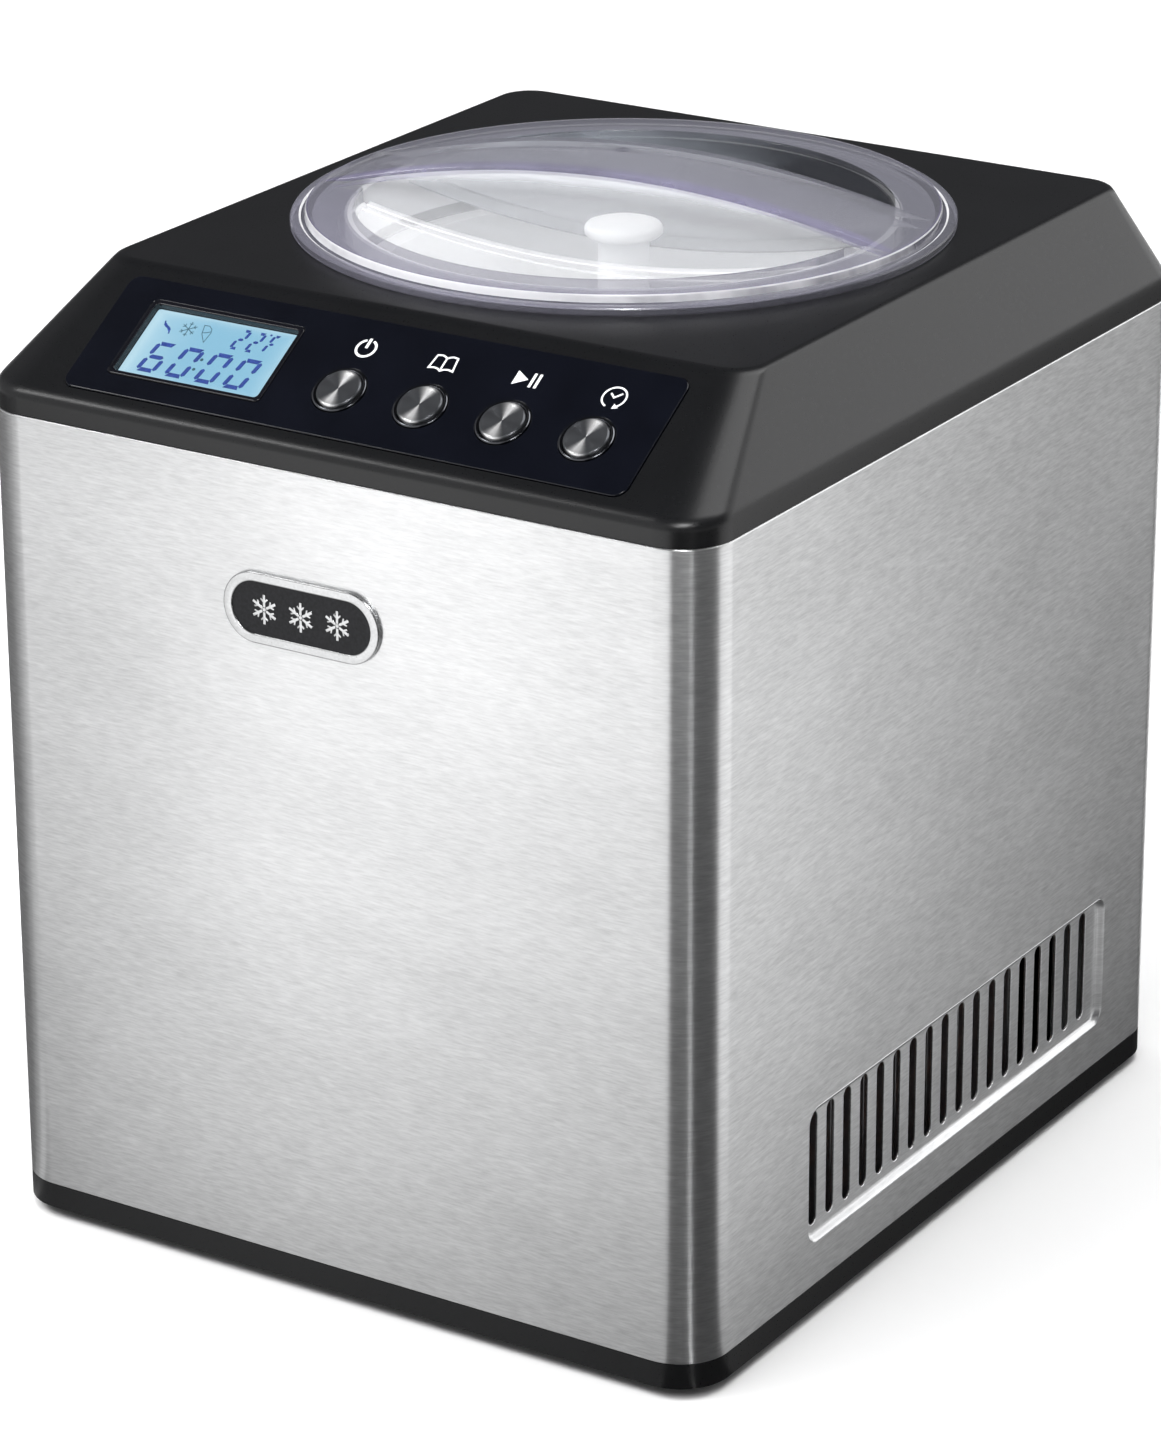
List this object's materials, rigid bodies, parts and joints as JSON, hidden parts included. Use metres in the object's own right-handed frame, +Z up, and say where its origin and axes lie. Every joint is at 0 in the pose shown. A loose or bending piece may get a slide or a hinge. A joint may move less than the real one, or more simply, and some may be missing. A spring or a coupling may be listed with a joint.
{
  "type": "ice cream maker",
  "caption": "Self-cooling ice cream maker: boxy brushed-steel body, black sloped control top with display and push buttons, clear lift-off lid with an arched bar handle over a churned bowl.",
  "frame": {"origin": "on the floor under the feet, at the middle of the body's plan", "axes": "+Z up, the sloped control panel faces -Y, +X is to the right of a person facing the panel"},
  "size_m": [0.275, 0.323, 0.349],
  "materials": {
    "housing_plastic": "satin",
    "brushed_sheet": "satin",
    "rear_plastic": "matte",
    "foot_rubber": "matte",
    "zinc_screw": "satin",
    "overlay_gloss": "gloss",
    "bezel_gloss": "gloss",
    "lens_clear": "gloss",
    "lcd_blue": "satin",
    "circuit_board": "satin",
    "switch_metal": "satin",
    "dark_chrome": "polished",
    "button_metal": "satin",
    "badge_chrome": "polished",
    "badge_black": "satin",
    "well_aluminium": "satin",
    "copper_tube": "satin",
    "copper_line": "satin",
    "drier_copper": "satin",
    "foam": "matte",
    "silicone_grey": "matte",
    "bowl_steel": "satin",
    "white_plastic": "satin",
    "clear_lid": "gloss",
    "ground_steel": "polished",
    "nylon_gear": "satin",
    "gearbox_plastic": "satin",
    "bronze_bush": "satin",
    "motor_can": "satin",
    "deck_plastic": "satin",
    "compressor_paint": "satin",
    "pump_iron": "matte",
    "fan_plastic": "satin",
    "inlet_plastic": "satin",
    "ribbon": "satin"
  },
  "bodies": {
    "housing": {"top_housing": "housing_plastic", "base_tray": "housing_plastic", "steel_wrapper": "brushed_sheet", "rear_panel": "rear_plastic", "rubber_feet": "foot_rubber", "compressor_grommets": "foot_rubber", "foot_screws": "zinc_screw", "rear_screws": "zinc_screw", "motor_screws": "zinc_screw", "compressor_bolts": "zinc_screw", "control_overlay": "overlay_gloss", "display_bezel": "bezel_gloss", "display_lens": "lens_clear", "display_module": "lcd_blue", "control_board": "circuit_board", "power_board": "circuit_board", "tact_switches": "switch_metal", "button_rings": "dark_chrome", "badge_frame": "badge_chrome", "badge_plate": "badge_black", "well_can": "well_aluminium", "condenser_fins": "well_aluminium", "evaporator_coil": "copper_tube", "condenser_coil": "copper_tube", "suction_tube": "copper_line", "discharge_tube": "copper_line", "capillary_tube": "copper_line", "liquid_tube": "copper_line", "filter_drier": "drier_copper", "insulation_foam": "foam", "well_gasket": "silicone_grey", "shaft_seal": "silicone_grey", "gear_axle": "ground_steel", "gearbox_base": "gearbox_plastic", "gearbox_cover": "gearbox_plastic", "terminal_cover": "gearbox_plastic", "shaft_bushes": "bronze_bush", "inlet_pins": "bronze_bush", "drive_motor": "motor_can", "chassis_deck": "deck_plastic", "compressor_shell": "compressor_paint", "compressor_cap": "compressor_paint", "compressor_plate": "compressor_paint", "compressor_pump": "pump_iron", "fan_frame": "fan_plastic", "power_inlet": "inlet_plastic", "ribbon_cable": "ribbon"},
    "bowl": {"mixing_bowl": "bowl_steel"},
    "paddle": {"paddle": "white_plastic", "paddle_knob": "white_plastic"},
    "lid": {"lid": "clear_lid"},
    "drive": {"drive_shaft": "ground_steel", "drive_gear": "nylon_gear"},
    "intermediate": {"intermediate_gear": "nylon_gear"},
    "motor_rotor": {"motor_pinion": "ground_steel"},
    "fan": {"fan_rotor": "fan_plastic"},
    "power_key": {"button_power": "button_metal"},
    "menu_key": {"button_menu": "button_metal"},
    "start_key": {"button_start": "button_metal"},
    "timer_key": {"button_timer": "button_metal"}
  },
  "joints": [
    {"name": "bowl_lift", "type": "slide", "parent": "housing", "child": "bowl", "axis": [0, 0, 1], "range_m": [0, 0.16]},
    {"name": "lid_lift", "type": "slide", "parent": "bowl", "child": "lid", "axis": [0, 0, 1], "range_m": [0, 0.12]},
    {"name": "drive_spin", "type": "hinge", "parent": "housing", "child": "drive", "pos_m": [0, 0.0164, 0.15], "axis": [0, 0, 1], "continuous": true},
    {"name": "intermediate_spin", "type": "hinge", "parent": "housing", "child": "intermediate", "pos_m": [0, -0.0376, 0.15], "axis": [0, 0, 1], "continuous": true},
    {"name": "motor_spin", "type": "hinge", "parent": "housing", "child": "motor_rotor", "pos_m": [-0.04, -0.0376, 0.15], "axis": [0, 0, 1], "continuous": true},
    {"name": "paddle_spin", "type": "hinge", "parent": "bowl", "child": "paddle", "pos_m": [0, 0.0164, 0.25], "axis": [0, 0, 1], "continuous": true},
    {"name": "fan_spin", "type": "hinge", "parent": "housing", "child": "fan", "pos_m": [0.0805, 0.008, 0.053], "axis": [1, 0, 0], "continuous": true},
    {"name": "power_press", "type": "slide", "parent": "housing", "child": "power_key", "axis": [0, 0.5319, -0.8468], "range_m": [0, 0.0008], "stiffness_N_per_m": 900, "springref_m": -0.001},
    {"name": "menu_press", "type": "slide", "parent": "housing", "child": "menu_key", "axis": [0, 0.5319, -0.8468], "range_m": [0, 0.0008], "stiffness_N_per_m": 900, "springref_m": -0.001},
    {"name": "start_press", "type": "slide", "parent": "housing", "child": "start_key", "axis": [0, 0.5319, -0.8468], "range_m": [0, 0.0008], "stiffness_N_per_m": 900, "springref_m": -0.001},
    {"name": "timer_press", "type": "slide", "parent": "housing", "child": "timer_key", "axis": [0, 0.5319, -0.8468], "range_m": [0, 0.0008], "stiffness_N_per_m": 900, "springref_m": -0.001}
  ],
  "couplings": [
    {"joint": "paddle_spin", "follows": "drive_spin", "ratio": 1},
    {"joint": "intermediate_spin", "follows": "drive_spin", "ratio": -3.5},
    {"joint": "motor_spin", "follows": "drive_spin", "ratio": 10.5}
  ]
}
